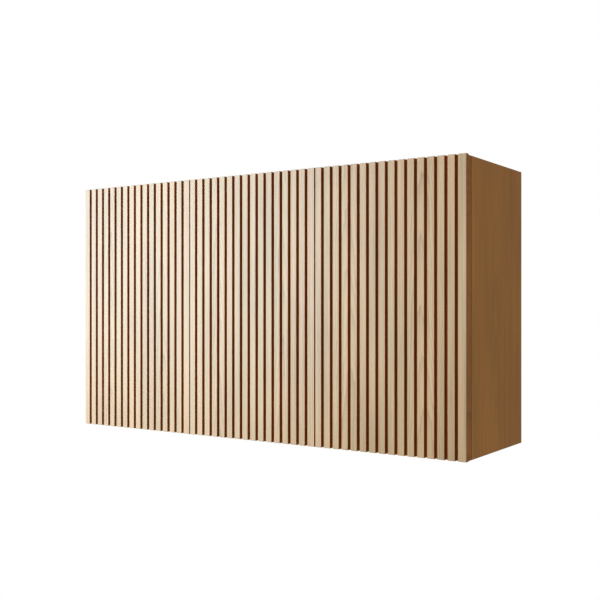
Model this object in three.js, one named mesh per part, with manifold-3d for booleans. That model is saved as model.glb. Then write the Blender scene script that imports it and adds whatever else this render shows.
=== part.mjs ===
// A wall-hung cabinet with three fluted doors. Millimetres, +Z up, the doors face -Y.
// The carcass and the doors are laid out from the front lower left corner of the doors:
// x to the right, y towards the wall, z up. The whole group is then moved so that its
// origin is the middle of the wall rail's rear face, on the wall.

import * as THREE from 'three';
import { mergeVertices } from 'three/addons/utils/BufferGeometryUtils.js';
import Module from 'manifold-3d';

const wasm = await Module();
wasm.setup();

// ---- driving dimensions ----

const CABINET_WIDTH = 1050;
const CABINET_DEPTH = 300;
const DOOR_HEIGHT = 600;
const DOOR_COUNT = 3;
const DOOR_GAP = 3;
const BOARD = 15;

// doors: a fluted front glued on a plain base board
const SLAT_COUNT = 16;
const SLAT_WIDTH = 15;
const FIRST_SLAT = 14.75;
const GROOVE_WIDTH = 7.07;
const GROOVE_DEPTH = 9;
const SLAT_EASE = 0.5;
const FRONT_THICKNESS = 12;
const BASE_THICKNESS = 12;
const REVEAL_BELOW = 1;
const REVEAL_ABOVE = 2;
const DOOR_STANDOFF = 2.5;

// carcass
const BACK_THICKNESS = 5;
const BACK_RECESS = 15;
const BACK_GROOVE_DEPTH = 7;
const FIT = 0.3;
const SHELF_SETBACK = 20;
const SHELF_CLEARANCE = 1;

// shelf pins and their rows of holes
const PIN_HOLE_RADIUS = 2.6;
const PIN_RADIUS = 2.3;
const PIN_HOLE_DEPTH = 7;
const PIN_LENGTH = 9;
const PIN_COLLAR = 1.2;
const PIN_RELIEF = 0.4;
const PIN_PLAY = 0.1;
const PIN_PITCH = 32;
const PIN_FRONT_SETBACK = 60;
const PIN_REAR_SETBACK = 195;
const PIN_HEIGHTS = [-1, 0, 1];

// cup hinges, measured from the hinge edge of the door
const CUP_CENTRE = 22;
const CUP_RADIUS = 17.5;
const CUP_WALL = 1.2;
const CUP_DEPTH = 11.5;
const CUP_FLANGE = 1;
const CUP_RIM = 1.5;
const CUP_EAR_REACH = 24;
const CUP_EAR_RADIUS = 6;
const HINGE_INSET = 95;
const LINK_PIVOT_X = 13.5;
const LINK_PIVOT_Y = 17.5;
const LINK_PIN_RADIUS = 1.2;
const LINK_PIN_ROOT = 0.5;
const LINK_EYE_RADIUS = 3;
const LINK_THICKNESS = 2.6;
const LINK_WIDTH = 10;
const LINK_TIP_Y = 50;
const LINK_FIRST_LEG = 8;
const LINK_REACH = 13.5;
const LINK_RISE = 6;
const LINK_OFFSET = 0.5;
const ARM_TOP = 36;
const ARM_HEIGHT = 15;
const ARM_WIDTH = 18;
const ARM_SHEET = 1.4;
const ARM_FRONT_SETBACK = 3;
const ARM_LENGTH = 68;
const PLATE_THICKNESS = 2;
const PLATE_SCREW_SETBACK = 37;
const PLATE_SCREW_SPREAD = 32;
const PLATE_SCREW_HOLE = 2.5;
const PLATE_WING = 7;
const PLATE_BODY = 8;
const PLATE_NOSE = 3;
const CARRIER_SETBACK = 2;

// push latches, measured from the free edge of the door
const LATCH_INSET = 33;
const LATCH_WIDTH = 20;
const LATCH_HEIGHT = 16;
const LATCH_LENGTH = 76;
const LATCH_FRONT_SETBACK = 3.5;
const LATCH_FLANGE = 3;
const PLUNGER_RADIUS = 3.9;
const PLUNGER_HEAD_RADIUS = 5.5;
const PLUNGER_HEAD_LENGTH = 4;
const PLUNGER_LENGTH = 52;
const PLUNGER_EASE = 0.8;
const STRIKE_WIDTH = 26;
const STRIKE_HEIGHT = 14;
const STRIKE_THICKNESS = 1;

// hanging gear in the upper rear corners
const RAIL_SHEET = 2;
const RAIL_LEAF = 20;
const RAIL_STEP = 5.5;
const RAIL_LIP = 10;
const RAIL_HEIGHT = 533;
const RAIL_SLOT_RADIUS = 3.5;
const RAIL_SLOTS = [-440, -170, 170, 440];
const RAIL_END_GAP = 2;
const HANGER_WIDTH = 24;
const HANGER_LENGTH = 56;
const HANGER_HEIGHT = 46;
const HOOK_WIDTH = 14;
const HOOK_SHEET = 2;
const HOOK_ROOT = 10;
const HOOK_DROP = 7;
const HOOK_PLAY = 0.5;
const HOOK_LIP_GAP = 0.8;
const HOOK_WALL_GAP = 2;
const HOOK_WINDOW_MARGIN = 2;
const HOOK_WINDOW_DROP = 5;

// how many flats stand for a large round, a small round and an eased corner
const ROUND_STEPS = 24;
const SMALL_STEPS = 12;
const EASE_STEPS = 2;

// how far a cut runs past the faces that it goes through
const THROUGH = 1;

// ---- derived places ----

const doorWidth = (CABINET_WIDTH - (DOOR_COUNT - 1) * DOOR_GAP) / DOOR_COUNT;
const doorPitch = doorWidth + DOOR_GAP;
const doorThickness = FRONT_THICKNESS + BASE_THICKNESS;
const carcassFront = doorThickness + DOOR_STANDOFF;
const carcassBottom = REVEAL_BELOW;
const carcassTop = DOOR_HEIGHT - REVEAL_ABOVE;
const insideBottom = carcassBottom + BOARD;
const insideTop = carcassTop - BOARD;
const backRear = CABINET_DEPTH - BACK_RECESS;
const backFront = backRear - BACK_THICKNESS;
const partitionLeft = doorPitch - DOOR_GAP / 2 - BOARD / 2;
const partitionRight = partitionLeft + BOARD;
const shelfBottom = (insideBottom + insideTop - BOARD) / 2;
const pinHeight = shelfBottom - PIN_RADIUS;
const latchHeight = insideTop - LATCH_HEIGHT / 2;
const hangerCentre = BOARD + HANGER_WIDTH / 2;
const hookHeight = RAIL_HEIGHT + RAIL_LEAF / 2 + RAIL_STEP + RAIL_LIP + HOOK_SHEET + HOOK_PLAY;
const hingeHeights = [HINGE_INSET, DOOR_HEIGHT - HINGE_INSET];

// Each door: its left edge, the side it is hinged on (1 left, -1 right) and the face
// that its hinge plates are screwed to, measured from its hinge edge.
const doors = [
  { name: 'left', left: 0, turn: 1, panelFace: BOARD },
  { name: 'middle', left: doorPitch, turn: 1, panelFace: partitionRight - doorPitch },
  { name: 'right', left: 2 * doorPitch, turn: -1, panelFace: BOARD },
];

const compartments = [
  { name: 'left', from: BOARD, to: partitionLeft },
  { name: 'right', from: partitionRight, to: CABINET_WIDTH - BOARD },
];

// ---- materials ----

const slatOak = new THREE.MeshStandardMaterial({ color: 0xd2c4b0, roughness: 0.55, metalness: 0 });
const panelOak = new THREE.MeshStandardMaterial({ color: 0x9a6c3f, roughness: 0.55, metalness: 0 });
const insideOak = new THREE.MeshStandardMaterial({ color: 0xb98d5c, roughness: 0.6, metalness: 0 });
const nickel = new THREE.MeshStandardMaterial({ color: 0xb9b7b2, roughness: 0.3, metalness: 1 });
const zinc = new THREE.MeshStandardMaterial({ color: 0xa4a8ab, roughness: 0.45, metalness: 1 });
const greyPlastic = new THREE.MeshStandardMaterial({ color: 0xb4b4b0, roughness: 0.5, metalness: 0 });

// ---- geometry helpers ----

// Where an outline's u, v and the extrusion's direction point, for each extrusion axis.
const prismBasis = {
  x: new THREE.Matrix4().makeBasis(
    new THREE.Vector3(0, 1, 0), new THREE.Vector3(0, 0, 1), new THREE.Vector3(1, 0, 0)),
  y: new THREE.Matrix4().makeBasis(
    new THREE.Vector3(1, 0, 0), new THREE.Vector3(0, 0, 1), new THREE.Vector3(0, -1, 0)),
  z: new THREE.Matrix4(),
};

// Extrudes an outline along an axis: (y, z) along x, (x, z) along y or (x, y) along z.
function prism(shape, axis, from, to) {
  const geometry = new THREE.ExtrudeGeometry(shape, {
    depth: to - from,
    bevelEnabled: false,
    curveSegments: ROUND_STEPS / 4,
  });
  geometry.applyMatrix4(prismBasis[axis]);
  const start = axis === 'y' ? to : from;
  const offset = new THREE.Vector3();
  offset[axis] = start;
  return geometry.translate(offset.x, offset.y, offset.z);
}

function polygon(points) {
  return new THREE.Shape(points.map(([u, v]) => new THREE.Vector2(u, v)));
}

function rectangle(u0, u1, v0, v1) {
  return polygon([[u0, v0], [u1, v0], [u1, v1], [u0, v1]]);
}

function circlePath(u, v, radius, steps = ROUND_STEPS) {
  const points = [];
  for (let step = 0; step < steps; step += 1) {
    const angle = (2 * Math.PI * step) / steps;
    points.push(new THREE.Vector2(u + radius * Math.cos(angle), v + radius * Math.sin(angle)));
  }
  return points;
}

function block(x0, x1, y0, y1, z0, z1) {
  const geometry = new THREE.BoxGeometry(x1 - x0, y1 - y0, z1 - z0);
  return geometry.translate((x0 + x1) / 2, (y0 + y1) / 2, (z0 + z1) / 2);
}

// A cylinder centred on a point, along an axis.
function rod(radius, length, axis, x, y, z, steps = ROUND_STEPS) {
  const geometry = new THREE.CylinderGeometry(radius, radius, length, steps);
  if (axis === 'x') geometry.rotateZ(Math.PI / 2);
  if (axis === 'z') geometry.rotateX(Math.PI / 2);
  return geometry.translate(x, y, z);
}

// A turned piece: a profile of [radius, distance] points turned about an axis.
function turned(profile, axis, x, y, z, steps = ROUND_STEPS) {
  const geometry = new THREE.LatheGeometry(profile.map(([r, t]) => new THREE.Vector2(r, t)), steps);
  if (axis === 'x') geometry.rotateZ(-Math.PI / 2);
  if (axis === '-x') geometry.rotateZ(Math.PI / 2);
  return geometry.translate(x, y, z);
}

function toSolid(geometry) {
  const bare = geometry.clone();
  bare.deleteAttribute('normal');
  bare.deleteAttribute('uv');
  const merged = mergeVertices(bare, 1e-4);
  return new wasm.Manifold(new wasm.Mesh({
    numProp: 3,
    vertProperties: new Float32Array(merged.attributes.position.array),
    triVerts: new Uint32Array(merged.index.array),
  }));
}

function toGeometry(solid) {
  const mesh = solid.getMesh();
  const geometry = new THREE.BufferGeometry();
  geometry.setAttribute('position', new THREE.BufferAttribute(mesh.vertProperties, 3));
  geometry.setIndex(new THREE.BufferAttribute(mesh.triVerts, 1));
  geometry.computeVertexNormals();
  return geometry;
}

function join(...geometries) {
  return toGeometry(geometries.map(toSolid).reduce((all, solid) => all.add(solid)));
}

function cut(geometry, ...tools) {
  return toGeometry(tools.map(toSolid).reduce((rest, tool) => rest.subtract(tool), toSolid(geometry)));
}

// Mirrors a geometry across the plane x = 0 and turns its faces out again.
function mirrored(geometry) {
  const copy = geometry.index ? geometry.toNonIndexed() : geometry.clone();
  copy.scale(-1, 1, 1);
  const position = copy.attributes.position;
  const a = new THREE.Vector3();
  const b = new THREE.Vector3();
  for (let corner = 0; corner < position.count; corner += 3) {
    a.fromBufferAttribute(position, corner);
    b.fromBufferAttribute(position, corner + 1);
    position.setXYZ(corner, b.x, b.y, b.z);
    position.setXYZ(corner + 1, a.x, a.y, a.z);
  }
  copy.computeVertexNormals();
  return copy;
}

const cabinet = new THREE.Group();

function add(name, geometry, material) {
  const mesh = new THREE.Mesh(geometry, material);
  mesh.name = name;
  cabinet.add(mesh);
}

// ---- carcass ----

// The holes of the shelf pins that a panel needs in one of its faces: direction is 1 when
// the drill goes towards +x and -1 when it goes towards -x.
function pinHoles(face, direction) {
  const holes = [];
  for (const setback of [PIN_FRONT_SETBACK, PIN_REAR_SETBACK]) {
    for (const row of PIN_HEIGHTS) {
      const middle = face + (direction * (PIN_HOLE_DEPTH - FIT)) / 2;
      const height = pinHeight + row * PIN_PITCH;
      holes.push(rod(PIN_HOLE_RADIUS, PIN_HOLE_DEPTH + FIT, 'x', middle, carcassFront + setback, height,
        SMALL_STEPS));
    }
  }
  return holes;
}

// A side panel as seen from above, with the groove that holds the back panel.
function sidePanel() {
  const outline = polygon([
    [0, carcassFront],
    [BOARD, carcassFront],
    [BOARD, backFront - FIT],
    [BOARD - BACK_GROOVE_DEPTH - FIT, backFront - FIT],
    [BOARD - BACK_GROOVE_DEPTH - FIT, backRear + FIT],
    [BOARD, backRear + FIT],
    [BOARD, CABINET_DEPTH],
    [0, CABINET_DEPTH],
  ]);
  return cut(prism(outline, 'z', carcassBottom, carcassTop), ...pinHoles(BOARD, -1));
}

// The top or the bottom panel as seen from the side: outer and inner are its faces.
function horizontalPanel(outer, inner) {
  const inward = Math.sign(inner - outer);
  const grooveFloor = inner - inward * (BACK_GROOVE_DEPTH + FIT);
  const points = [
    [carcassFront, outer],
    [CABINET_DEPTH, outer],
    [CABINET_DEPTH, inner],
    [backRear + FIT, inner],
    [backRear + FIT, grooveFloor],
    [backFront - FIT, grooveFloor],
    [backFront - FIT, inner],
    [carcassFront, inner],
  ];
  return prism(polygon(points), 'x', BOARD, CABINET_WIDTH - BOARD);
}

// The back panel, with the two windows that the hanger hooks reach through.
function backPanel() {
  const reach = BACK_GROOVE_DEPTH;
  const board = block(BOARD - reach, CABINET_WIDTH - BOARD + reach,
    backFront, backRear, insideBottom - reach, insideTop + reach);
  const half = HOOK_WIDTH / 2 + HOOK_WINDOW_MARGIN;
  const low = hookHeight - HOOK_WINDOW_MARGIN - HOOK_WINDOW_DROP;
  const high = hookHeight + HOOK_WINDOW_MARGIN;
  const windows = [hangerCentre, CABINET_WIDTH - hangerCentre].map((x) => block(x - half, x + half,
    backFront - THROUGH, backRear + THROUGH, low, high));
  return cut(board, ...windows);
}

function carcass() {
  const side = sidePanel();
  add('left_side_panel', side, panelOak);
  add('right_side_panel', mirrored(side).translate(CABINET_WIDTH, 0, 0), panelOak);
  add('top_panel', horizontalPanel(carcassTop, insideTop), panelOak);
  add('bottom_panel', horizontalPanel(carcassBottom, insideBottom), panelOak);
  add('back_panel', backPanel(), insideOak);
  const board = block(partitionLeft, partitionRight, carcassFront, backFront, insideBottom, insideTop);
  add('partition', cut(board, ...pinHoles(partitionLeft, 1), ...pinHoles(partitionRight, -1)), insideOak);
}

// ---- shelves ----

// A shelf pin: a peg in the panel, a collar against its face and a peg under the shelf.
function shelfPin(axis, x, y, z) {
  const depth = PIN_HOLE_DEPTH - FIT;
  const collar = PIN_RADIUS + PIN_COLLAR;
  const profile = [
    [0, -depth],
    [PIN_RADIUS, -depth],
    [PIN_RADIUS, FIT / 2],
    [collar, FIT / 2],
    [collar, PIN_COLLAR],
    [PIN_RADIUS, PIN_COLLAR],
    [PIN_RADIUS, PIN_LENGTH],
    [0, PIN_LENGTH],
  ];
  return turned(profile, axis, x, y, z, SMALL_STEPS);
}

function shelves() {
  for (const { name, from, to } of compartments) {
    const board = block(
      from + SHELF_CLEARANCE,
      to - SHELF_CLEARANCE,
      carcassFront + SHELF_SETBACK,
      backFront - SHELF_CLEARANCE,
      shelfBottom,
      shelfBottom + BOARD,
    );
    const relief = [];
    const rows = { front: carcassFront + PIN_FRONT_SETBACK, rear: carcassFront + PIN_REAR_SETBACK };
    for (const [row, y] of Object.entries(rows)) {
      const z = pinHeight - PIN_PLAY;
      add(`${name}_shelf_pin_${row}_left`, shelfPin('x', from, y, z), nickel);
      add(`${name}_shelf_pin_${row}_right`, shelfPin('-x', to, y, z), nickel);
      for (const x of [from, to]) {
        const reliefRadius = PIN_RADIUS + PIN_COLLAR + PIN_RELIEF;
        relief.push(rod(reliefRadius, 2 * (PIN_COLLAR + 2 * PIN_RELIEF + FIT), 'x', x, y, z, SMALL_STEPS));
      }
    }
    add(`${name}_shelf`, cut(board, ...relief), insideOak);
  }
}

// ---- doors ----

// The fluted front as seen from above: slats with eased edges between open grooves.
function flutedFront(left) {
  const slats = new Array(SLAT_COUNT).fill(SLAT_WIDTH);
  slats[0] = FIRST_SLAT;
  const grooves = (SLAT_COUNT - 1) * GROOVE_WIDTH;
  slats[SLAT_COUNT - 1] = doorWidth - FIRST_SLAT - (SLAT_COUNT - 2) * SLAT_WIDTH - grooves;
  const outline = new THREE.Shape();
  outline.moveTo(left, FRONT_THICKNESS);
  let x = left;
  slats.forEach((width, slat) => {
    if (slat > 0) {
      outline.lineTo(x, GROOVE_DEPTH);
      x += GROOVE_WIDTH;
      outline.lineTo(x, GROOVE_DEPTH);
    }
    outline.lineTo(x, SLAT_EASE);
    outline.quadraticCurveTo(x, 0, x + SLAT_EASE, 0);
    outline.lineTo(x + width - SLAT_EASE, 0);
    outline.quadraticCurveTo(x + width, 0, x + width, SLAT_EASE);
    x += width;
  });
  outline.lineTo(x, FRONT_THICKNESS);
  outline.closePath();
  return new THREE.ExtrudeGeometry(outline, {
    depth: DOOR_HEIGHT,
    bevelEnabled: false,
    curveSegments: EASE_STEPS,
  });
}

function doorBase(door) {
  const outline = rectangle(door.left, door.left + doorWidth, carcassBottom, carcassTop);
  const cupX = hingeX(door, CUP_CENTRE);
  for (const z of hingeHeights) {
    outline.holes.push(new THREE.Path(circlePath(cupX, z, CUP_RADIUS + FIT)));
  }
  return prism(outline, 'y', FRONT_THICKNESS, doorThickness);
}

function strikePlate(door) {
  const x = freeX(door, LATCH_INSET);
  return block(
    x - STRIKE_WIDTH / 2,
    x + STRIKE_WIDTH / 2,
    doorThickness,
    doorThickness + STRIKE_THICKNESS,
    latchHeight - STRIKE_HEIGHT / 2,
    latchHeight + STRIKE_HEIGHT / 2,
  );
}

// ---- hinges ----

// A distance from a door's hinge edge, or from its free edge, as a place across the cabinet.
function hingeX(door, distance) {
  return door.turn > 0 ? door.left + distance : door.left + doorWidth - distance;
}

function freeX(door, distance) {
  return door.turn > 0 ? door.left + doorWidth - distance : door.left + distance;
}

// Puts a hinge piece, drawn from the hinge edge at x = 0 and from the cup's height at
// z = 0, on a door.
function onDoor(door, geometry, z) {
  const placed = door.turn > 0 ? geometry.clone() : mirrored(geometry);
  return placed.translate(hingeX(door, 0), 0, z);
}

// The cup with its flange, its two screw ears and the pin that carries the link.
function hingeCup() {
  const inner = CUP_RADIUS - CUP_WALL;
  const bottom = doorThickness - CUP_DEPTH;
  const flange = new THREE.Shape(circlePath(CUP_CENTRE, 0, CUP_RADIUS + CUP_RIM));
  const plate = prism(flange, 'y', doorThickness, doorThickness + CUP_FLANGE);
  const bar = block(CUP_CENTRE - CUP_EAR_RADIUS, CUP_CENTRE + CUP_EAR_RADIUS,
    doorThickness, doorThickness + CUP_FLANGE, -CUP_EAR_REACH, CUP_EAR_REACH);
  const ears = [-1, 1].map((end) => rod(CUP_EAR_RADIUS, CUP_FLANGE, 'y',
    CUP_CENTRE, doorThickness + CUP_FLANGE / 2, end * CUP_EAR_REACH, SMALL_STEPS));
  const holes = [-1, 1].map((end) => rod(PLATE_SCREW_HOLE, CUP_FLANGE + 2 * THROUGH, 'y',
    CUP_CENTRE, doorThickness + CUP_FLANGE / 2, end * CUP_EAR_REACH, SMALL_STEPS));
  const cup = rod(CUP_RADIUS, CUP_DEPTH, 'y', CUP_CENTRE, bottom + CUP_DEPTH / 2, 0);
  const hollow = rod(inner, CUP_DEPTH + CUP_FLANGE, 'y',
    CUP_CENTRE, bottom + CUP_WALL + (CUP_DEPTH + CUP_FLANGE) / 2, 0);
  const halfChord = Math.sqrt(inner ** 2 - (CUP_CENTRE - LINK_PIVOT_X) ** 2);
  const pin = rod(LINK_PIN_RADIUS, 2 * (halfChord + LINK_PIN_ROOT), 'z',
    LINK_PIVOT_X, LINK_PIVOT_Y, 0, SMALL_STEPS);
  return join(cut(join(cup, plate, bar, ...ears), hollow, ...holes), pin);
}

// The goose-neck link as seen from above: an eye on the cup's pin, a leg across the cup
// and a leg back into the hinge arm.
function hingeLink() {
  const half = LINK_THICKNESS / 2;
  const bendStart = LINK_PIVOT_X + LINK_FIRST_LEG;
  const bendEnd = LINK_PIVOT_X + LINK_REACH;
  const low = LINK_PIVOT_Y + LINK_OFFSET;
  const high = low + LINK_RISE;
  const leg = polygon([
    [LINK_PIVOT_X, low - half],
    [bendStart + half / 2, low - half],
    [bendEnd + half, high - half / 2],
    [bendEnd + half, LINK_TIP_Y],
    [bendEnd - half, LINK_TIP_Y],
    [bendEnd - half, high + half / 2],
    [bendStart - half / 2, low + half],
    [LINK_PIVOT_X, low + half],
  ]);
  const ends = [-LINK_WIDTH / 2, LINK_WIDTH / 2];
  const eye = rod(LINK_EYE_RADIUS, LINK_WIDTH, 'z', LINK_PIVOT_X, LINK_PIVOT_Y, 0, SMALL_STEPS);
  const bore = rod(LINK_PIN_RADIUS + FIT, 2 * LINK_WIDTH, 'z', LINK_PIVOT_X, LINK_PIVOT_Y, 0, SMALL_STEPS);
  return cut(join(prism(leg, 'z', ...ends), eye), bore);
}

// The hinge arm: a channel, open towards the panel, that the link runs in.
function hingeArm() {
  const outer = ARM_WIDTH / 2;
  const inner = outer - ARM_SHEET;
  const outline = polygon([
    [ARM_TOP - ARM_HEIGHT, -outer],
    [ARM_TOP, -outer],
    [ARM_TOP, outer],
    [ARM_TOP - ARM_HEIGHT, outer],
    [ARM_TOP - ARM_HEIGHT, inner],
    [ARM_TOP - ARM_SHEET, inner],
    [ARM_TOP - ARM_SHEET, -inner],
    [ARM_TOP - ARM_HEIGHT, -inner],
  ]);
  const front = carcassFront + ARM_FRONT_SETBACK;
  return prism(outline, 'y', front, front + ARM_LENGTH);
}

// The mounting plate: a winged base with two screw holes and a block that carries the arm.
function hingePlate(panelFace) {
  const screwY = carcassFront + PLATE_SCREW_SETBACK;
  const rear = carcassFront + ARM_FRONT_SETBACK + ARM_LENGTH;
  const halfSpread = PLATE_SCREW_SPREAD / 2;
  const noseFront = screwY - PLATE_WING - PLATE_NOSE;
  const wingFront = screwY - PLATE_WING;
  const wingRear = screwY + PLATE_WING;
  const wingTip = halfSpread + PLATE_WING;
  const outline = polygon([
    [noseFront, -PLATE_BODY],
    [wingFront, -PLATE_BODY],
    [wingFront, -wingTip],
    [wingRear, -wingTip],
    [wingRear, -PLATE_BODY],
    [rear, -PLATE_BODY],
    [rear, PLATE_BODY],
    [wingRear, PLATE_BODY],
    [wingRear, wingTip],
    [wingFront, wingTip],
    [wingFront, PLATE_BODY],
    [noseFront, PLATE_BODY],
  ]);
  for (const z of [-halfSpread, halfSpread]) {
    outline.holes.push(new THREE.Path(circlePath(screwY, z, PLATE_SCREW_HOLE, SMALL_STEPS)));
  }
  const base = prism(outline, 'x', panelFace, panelFace + PLATE_THICKNESS);
  const blockHalf = ARM_WIDTH / 2 - ARM_SHEET - FIT;
  const carrier = block(panelFace, ARM_TOP - ARM_SHEET - FIT,
    wingFront, rear - CARRIER_SETBACK, -blockHalf, blockHalf);
  return join(base, carrier);
}

function hinges(door) {
  const cup = hingeCup();
  const link = hingeLink();
  const arm = hingeArm();
  const plate = hingePlate(door.panelFace);
  const places = { lower: hingeHeights[0], upper: hingeHeights[1] };
  for (const [place, z] of Object.entries(places)) {
    add(`${door.name}_door_${place}_hinge_cup`, onDoor(door, cup, z), nickel);
    add(`${door.name}_door_${place}_hinge_link`, onDoor(door, link, z), nickel);
    add(`${door.name}_door_${place}_hinge_arm`, onDoor(door, arm, z), nickel);
    add(`${door.name}_door_${place}_hinge_plate`, onDoor(door, plate, z), zinc);
  }
}

// ---- push latches ----

// The latch housing as seen from the front: flat under the top panel, round below.
function latchHousing(x) {
  const half = LATCH_WIDTH / 2;
  const radius = LATCH_HEIGHT / 2;
  const flange = insideTop - LATCH_FLANGE;
  const outline = new THREE.Shape();
  outline.moveTo(x - half, insideTop);
  outline.lineTo(x - half, flange);
  outline.lineTo(x - radius, flange);
  outline.lineTo(x - radius, latchHeight);
  outline.absarc(x, latchHeight, radius, Math.PI, 2 * Math.PI, false);
  outline.lineTo(x + radius, flange);
  outline.lineTo(x + half, flange);
  outline.lineTo(x + half, insideTop);
  outline.closePath();
  outline.holes.push(new THREE.Path(circlePath(x, latchHeight, PLUNGER_RADIUS + FIT)));
  const front = carcassFront + LATCH_FRONT_SETBACK;
  return prism(outline, 'y', front, front + LATCH_LENGTH);
}

function latchPlunger(x) {
  const tip = doorThickness + STRIKE_THICKNESS + FIT;
  const profile = [
    [0, 0],
    [PLUNGER_HEAD_RADIUS - PLUNGER_EASE, 0],
    [PLUNGER_HEAD_RADIUS, PLUNGER_EASE],
    [PLUNGER_HEAD_RADIUS, PLUNGER_HEAD_LENGTH],
    [PLUNGER_RADIUS, PLUNGER_HEAD_LENGTH],
    [PLUNGER_RADIUS, PLUNGER_LENGTH],
    [0, PLUNGER_LENGTH],
  ];
  return turned(profile, 'y', x, tip, latchHeight, ROUND_STEPS);
}

// ---- hanging gear ----

// The wall rail as seen from its end: a leaf on the wall, a step forward and a lip.
function wallRail() {
  const low = RAIL_HEIGHT - RAIL_LEAF / 2;
  const bend = RAIL_HEIGHT + RAIL_LEAF / 2;
  const lipFront = CABINET_DEPTH - RAIL_STEP - RAIL_SHEET;
  const top = bend + RAIL_STEP + RAIL_LIP;
  const outline = polygon([
    [CABINET_DEPTH - RAIL_SHEET, low],
    [CABINET_DEPTH, low],
    [CABINET_DEPTH, bend],
    [CABINET_DEPTH - RAIL_STEP, bend + RAIL_STEP],
    [CABINET_DEPTH - RAIL_STEP, top],
    [lipFront, top],
    [lipFront, bend + RAIL_STEP - RAIL_SHEET / 2],
    [CABINET_DEPTH - RAIL_SHEET, bend - RAIL_SHEET / 2],
  ]);
  const end = BOARD + RAIL_END_GAP;
  const profile = prism(outline, 'x', end, CABINET_WIDTH - end);
  const slots = RAIL_SLOTS.map((x) => rod(RAIL_SLOT_RADIUS, 2 * (RAIL_SHEET + THROUGH), 'y',
    CABINET_WIDTH / 2 + x, CABINET_DEPTH, RAIL_HEIGHT, SMALL_STEPS));
  return cut(profile, ...slots);
}

// A hanger: a housing on the side panel and a hook that reaches through the back panel
// and drops behind the rail's lip.
function hanger() {
  const root = backFront - HOOK_ROOT;
  const tipFront = CABINET_DEPTH - RAIL_STEP + HOOK_LIP_GAP;
  const tipRear = CABINET_DEPTH - HOOK_WALL_GAP;
  const under = hookHeight - HOOK_SHEET;
  const housing = block(BOARD, BOARD + HANGER_WIDTH,
    backFront - FIT - HANGER_LENGTH, backFront - FIT,
    insideTop - FIT - HANGER_HEIGHT, insideTop - FIT);
  const hookOutline = polygon([
    [root, under],
    [tipFront, under],
    [tipFront, under - HOOK_DROP],
    [tipRear, under - HOOK_DROP],
    [tipRear, hookHeight],
    [root, hookHeight],
  ]);
  const hook = prism(hookOutline, 'x', hangerCentre - HOOK_WIDTH / 2, hangerCentre + HOOK_WIDTH / 2);
  return join(housing, hook);
}

function hangingGear() {
  const left = hanger();
  add('wall_rail', wallRail(), zinc);
  add('left_hanger', left, greyPlastic);
  add('right_hanger', mirrored(left).translate(CABINET_WIDTH, 0, 0), greyPlastic);
}

// ---- assembly ----

carcass();
shelves();
hangingGear();
for (const door of doors) {
  const latchX = freeX(door, LATCH_INSET);
  add(`${door.name}_door_fluted_front`, flutedFront(door.left), slatOak);
  add(`${door.name}_door_base`, doorBase(door), panelOak);
  add(`${door.name}_door_strike_plate`, strikePlate(door), zinc);
  add(`${door.name}_latch_housing`, latchHousing(latchX), greyPlastic);
  add(`${door.name}_latch_plunger`, latchPlunger(latchX), greyPlastic);
  hinges(door);
}

cabinet.position.set(-CABINET_WIDTH / 2, -CABINET_DEPTH, -RAIL_HEIGHT);

export default cabinet;
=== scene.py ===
import math

import bmesh
import bpy
from mathutils import Matrix, Vector


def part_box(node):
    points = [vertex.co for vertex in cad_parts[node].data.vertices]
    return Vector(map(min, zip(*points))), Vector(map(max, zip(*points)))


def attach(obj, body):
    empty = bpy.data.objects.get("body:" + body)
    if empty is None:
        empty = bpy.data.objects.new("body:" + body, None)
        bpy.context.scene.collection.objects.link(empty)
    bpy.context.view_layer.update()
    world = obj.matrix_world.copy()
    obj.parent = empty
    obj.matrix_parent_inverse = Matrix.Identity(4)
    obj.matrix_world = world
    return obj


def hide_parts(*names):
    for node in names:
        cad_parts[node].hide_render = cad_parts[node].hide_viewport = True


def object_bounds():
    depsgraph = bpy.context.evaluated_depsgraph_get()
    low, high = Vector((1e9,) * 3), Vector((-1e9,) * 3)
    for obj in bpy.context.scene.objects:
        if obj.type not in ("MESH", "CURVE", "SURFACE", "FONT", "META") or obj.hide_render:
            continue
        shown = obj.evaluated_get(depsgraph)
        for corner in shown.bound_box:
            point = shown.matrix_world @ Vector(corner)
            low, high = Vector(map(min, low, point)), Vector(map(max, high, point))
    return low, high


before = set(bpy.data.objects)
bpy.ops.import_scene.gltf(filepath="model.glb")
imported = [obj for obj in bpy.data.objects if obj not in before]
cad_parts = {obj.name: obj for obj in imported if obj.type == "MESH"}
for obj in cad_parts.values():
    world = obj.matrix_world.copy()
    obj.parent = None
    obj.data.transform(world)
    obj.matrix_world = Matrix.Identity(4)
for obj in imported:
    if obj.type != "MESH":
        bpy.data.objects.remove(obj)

# The wall cabinet's looks: oak veneers, slatted door fronts, hinges, latches and screws, built
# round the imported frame. Metres, +Z up, the doors face -Y.

MM = 0.001
cad_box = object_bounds()

DOORS = ("left", "middle", "right")
PLACES = ("lower", "upper")

# the door that is hinged on its right edge turns the other way
TURN = {"left": 1, "middle": 1, "right": -1}

# slatted fronts
SLAT_COUNT = 16
SLAT_WIDTH = 15 * MM
FIRST_SLAT = 14.75 * MM
GROOVE_WIDTH = 7.07 * MM
GROOVE_DEPTH = 9 * MM
SLAT_EASE = 0.4 * MM

# The hardware is drawn in millimetres from the doors' front lower left corner: x to the right,
# y towards the wall, z up. The frame's origin is at this place from that corner. Hinge pieces are
# drawn from their door's hinge edge and from the height of their cup.
ORIGIN = (525.0, 300.0, 533.0)
DOOR_LEFT = {"left": 0.0, "middle": 351.0, "right": 702.0}
DOOR_WIDTH = 348.0
DOOR_BACK = 24.0
HINGE_HEIGHT = {"lower": 95.0, "upper": 505.0}

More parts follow.
